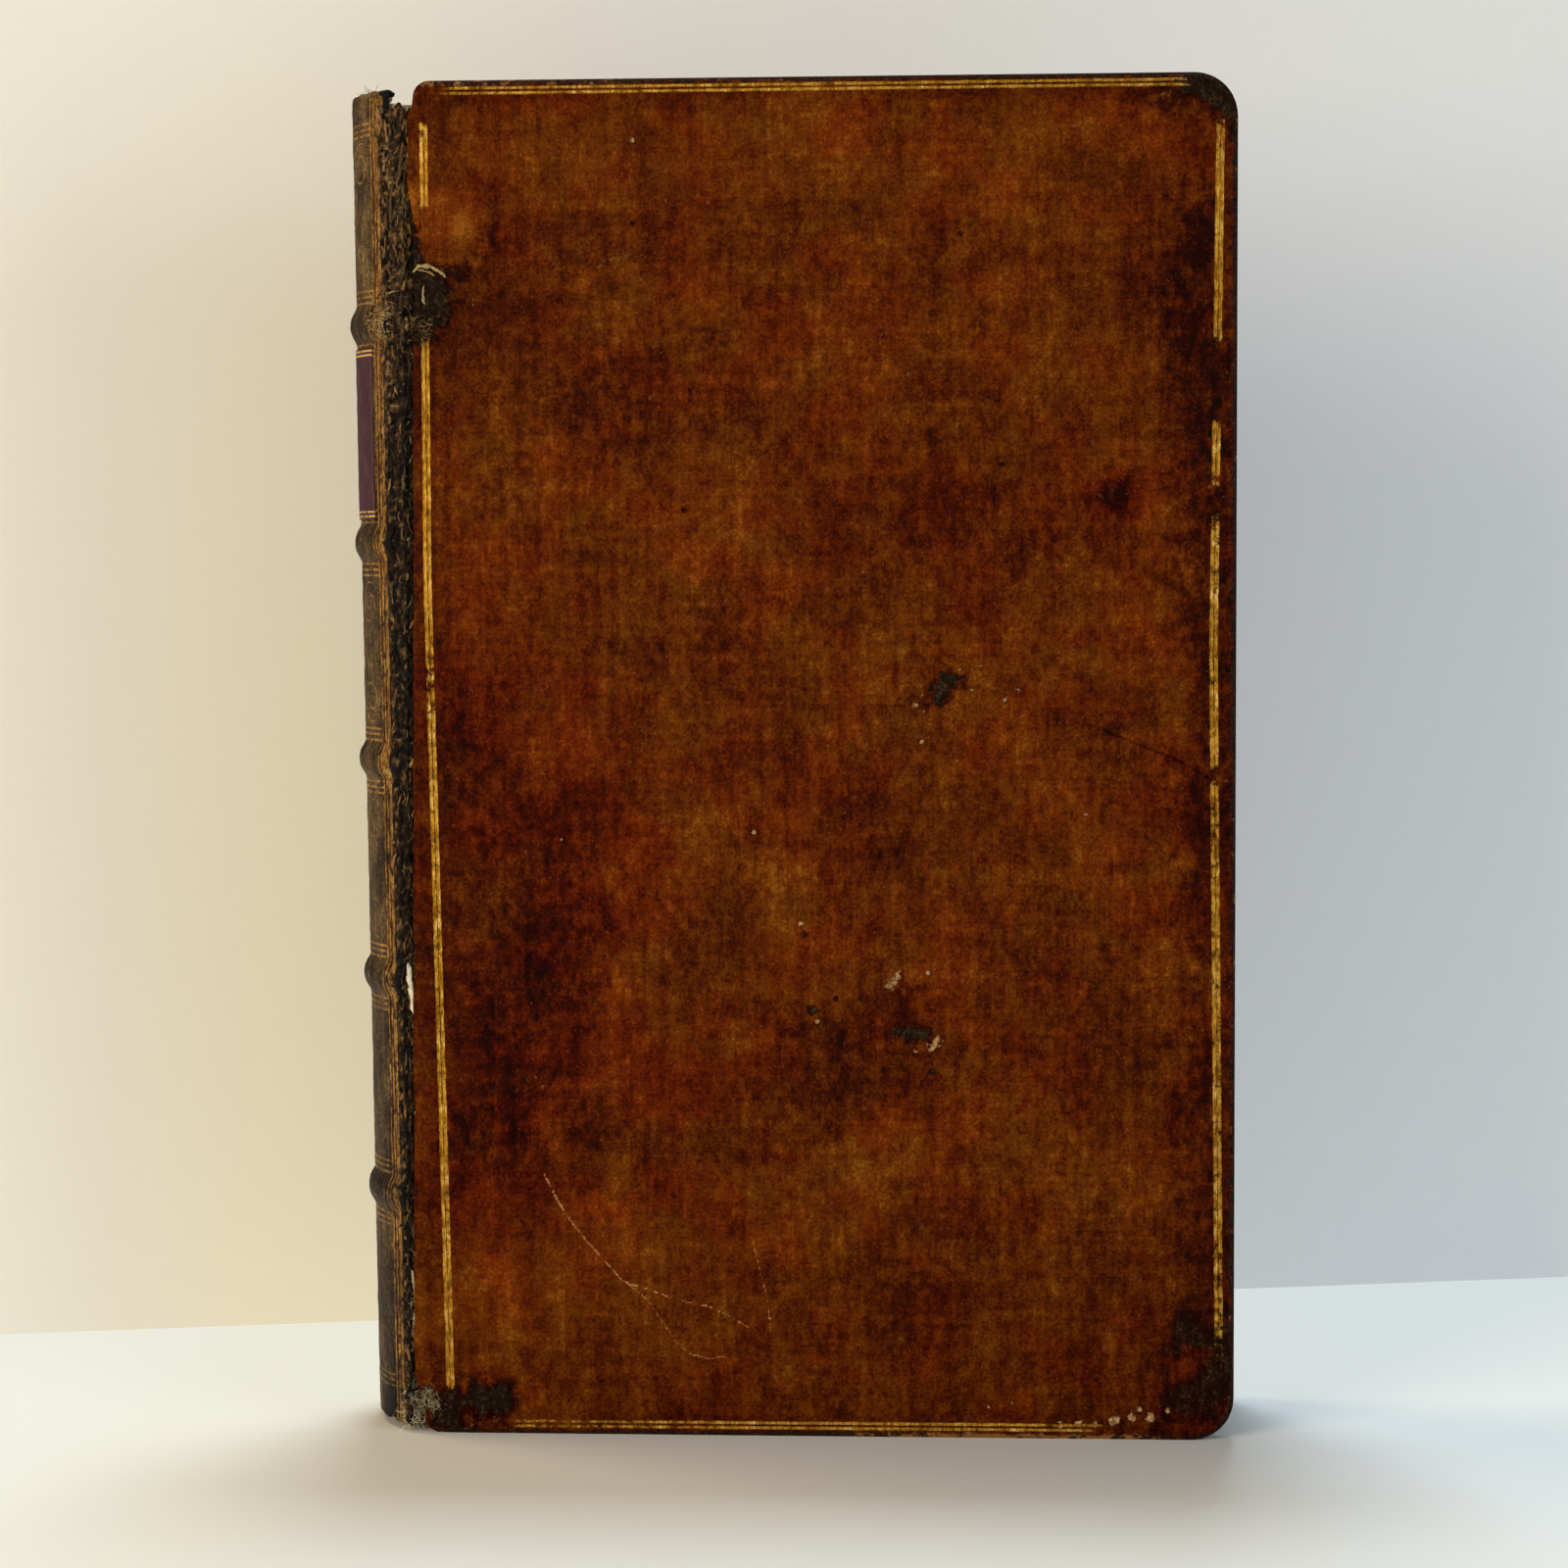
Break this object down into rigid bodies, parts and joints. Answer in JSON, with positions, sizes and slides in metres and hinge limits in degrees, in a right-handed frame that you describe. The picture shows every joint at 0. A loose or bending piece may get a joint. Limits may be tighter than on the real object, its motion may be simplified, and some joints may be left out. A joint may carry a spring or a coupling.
{
  "type": "antique leather book",
  "caption": "Closed antique book in worn full calf, with raised bands, a cracked front joint and two hinged covers.",
  "frame": {"origin": "on the ground below the tail edge, midway between the raised bands and the fore-edge and midway between the covers", "axes": "+Z from tail to head, +X from spine to fore-edge, -Y out of the front cover"},
  "size_m": [0.1336, 0.03, 0.205],
  "materials": {
    "leaves": "matte, browned and speckled at the edges",
    "endpaper": "matte, foxed",
    "lining": "matte",
    "cord": "twisted flax, dry",
    "endband": "wound thread, faded",
    "spine_calf": "dull, faded and rubbed",
    "cover_calf": "polished, scratched, with gilt lines",
    "label_skin": "dark, with gilt rules",
    "pasteboard": "matte"
  },
  "bodies": {
    "book_block": {"text_block": "leaves", "front_free_endpaper": "endpaper", "back_free_endpaper": "endpaper", "spine_lining": "lining", "sewing_cord_1": "cord", "sewing_cord_2": "cord", "sewing_cord_3": "cord", "sewing_cord_4": "cord", "sewing_cord_5": "cord", "head_endband": "endband", "tail_endband": "endband", "spine_leather": "spine_calf", "title_label": "label_skin"},
    "front_cover": {"front_leather": "cover_calf", "front_board": "pasteboard", "front_cord_slips": "cord", "front_pastedown": "endpaper"},
    "back_cover": {"back_leather": "cover_calf", "back_board": "pasteboard", "back_cord_slips": "cord", "back_pastedown": "endpaper"}
  },
  "joints": [
    {"name": "front_cover_hinge", "type": "hinge", "parent": "book_block", "child": "front_cover", "pos_m": [-0.0564, -0.015, 0.1025], "axis": [0, 0, -1], "range_deg": [0, 170]},
    {"name": "back_cover_hinge", "type": "hinge", "parent": "book_block", "child": "back_cover", "pos_m": [-0.0564, 0.015, 0.1025], "axis": [0, 0, 1], "range_deg": [0, 170]}
  ]
}
